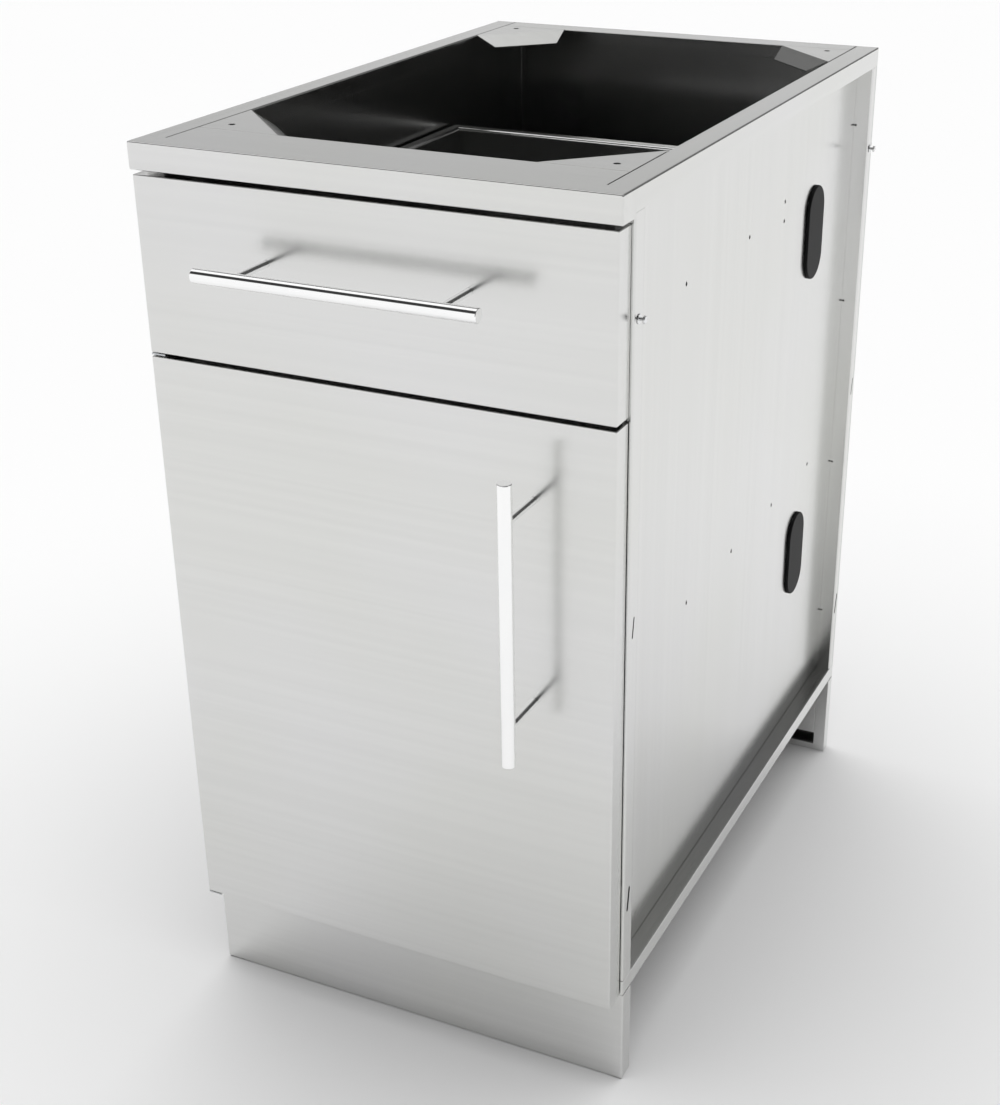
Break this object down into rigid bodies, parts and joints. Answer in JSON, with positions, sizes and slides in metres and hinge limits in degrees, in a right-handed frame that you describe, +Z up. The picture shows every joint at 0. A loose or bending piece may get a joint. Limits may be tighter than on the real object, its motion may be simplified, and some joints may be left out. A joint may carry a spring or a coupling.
{
  "type": "outdoor kitchen cabinet",
  "caption": "Free-standing base cabinet in brushed steel with a drawer over a hinged door, bar handles, an open top and a set-back plinth.",
  "frame": {"origin": "on the floor, under the middle of the whole object's box, handles and studs included", "axes": "+Z up, -Y towards a person facing the fronts, +X to their right"},
  "size_m": [0.4634, 0.7642, 0.8763],
  "materials": {
    "brushed_steel_sheet": "fine brushed grain, bright",
    "zinc_plated_steel": "satin zinc plate",
    "polished_steel": "polished",
    "black_plastic": "fine matte",
    "white_nylon": "smooth matte",
    "clear_rubber": "soft matte"
  },
  "bodies": {
    "cabinet": {"side_panel_left": "brushed_steel_sheet", "side_panel_right": "brushed_steel_sheet", "front_stile_left": "brushed_steel_sheet", "front_stile_right": "brushed_steel_sheet", "rear_stile_left": "brushed_steel_sheet", "rear_stile_right": "brushed_steel_sheet", "bottom_side_rail_left": "brushed_steel_sheet", "bottom_side_rail_right": "brushed_steel_sheet", "top_side_rail_left": "brushed_steel_sheet", "top_side_rail_right": "brushed_steel_sheet", "front_top_rail": "brushed_steel_sheet", "rear_top_rail": "brushed_steel_sheet", "gusset_front_left": "brushed_steel_sheet", "gusset_front_right": "brushed_steel_sheet", "gusset_rear_left": "brushed_steel_sheet", "gusset_rear_right": "brushed_steel_sheet", "floor_pan": "brushed_steel_sheet", "back_panel": "brushed_steel_sheet", "middle_rail": "brushed_steel_sheet", "toe_kick": "brushed_steel_sheet", "rear_toe_plate": "brushed_steel_sheet", "rear_toe_brace": "brushed_steel_sheet", "shelf": "brushed_steel_sheet", "cable_plug_upper_left": "black_plastic", "cable_plug_upper_right": "black_plastic", "cable_plug_lower_left": "black_plastic", "cable_plug_lower_right": "black_plastic", "connector_stud_front": "zinc_plated_steel", "connector_stud_rear": "zinc_plated_steel", "slide_outer_left": "zinc_plated_steel", "slide_outer_right": "zinc_plated_steel", "hinge_plate_top": "zinc_plated_steel", "hinge_plate_bottom": "zinc_plated_steel", "door_catch": "black_plastic"},
    "slide_middles": {"slide_middle_left": "zinc_plated_steel", "slide_middle_right": "zinc_plated_steel"},
    "drawer": {"drawer_skin": "brushed_steel_sheet", "drawer_liner": "brushed_steel_sheet", "drawer_box_front": "brushed_steel_sheet", "drawer_wall_left": "brushed_steel_sheet", "drawer_wall_right": "brushed_steel_sheet", "drawer_back": "brushed_steel_sheet", "drawer_bottom": "brushed_steel_sheet", "slide_inner_left": "zinc_plated_steel", "slide_inner_right": "zinc_plated_steel", "drawer_handle": "polished_steel", "drawer_handle_screw_1": "zinc_plated_steel", "drawer_handle_screw_2": "zinc_plated_steel"},
    "door": {"door_skin": "brushed_steel_sheet", "door_liner": "brushed_steel_sheet", "door_handle": "polished_steel", "door_handle_screw_1": "zinc_plated_steel", "door_handle_screw_2": "zinc_plated_steel", "door_bush_bottom": "white_nylon", "door_bush_top": "white_nylon", "door_strike_plate": "zinc_plated_steel", "door_bumper_bottom": "clear_rubber", "door_bumper_top": "clear_rubber"}
  },
  "joints": [
    {"name": "drawer_slide", "type": "slide", "parent": "cabinet", "child": "drawer", "axis": [0, -1, 0], "range_m": [0, 0.48]},
    {"name": "slide_middle_travel", "type": "slide", "parent": "cabinet", "child": "slide_middles", "axis": [0, -1, 0], "range_m": [0, 0.24]},
    {"name": "door_hinge", "type": "hinge", "parent": "cabinet", "child": "door", "pos_m": [-0.2242, -0.31812, 0.3948], "axis": [0, 0, -1], "range_deg": [0, 110]}
  ],
  "couplings": [
    {"joint": "slide_middle_travel", "follows": "drawer_slide", "ratio": 0.5}
  ]
}
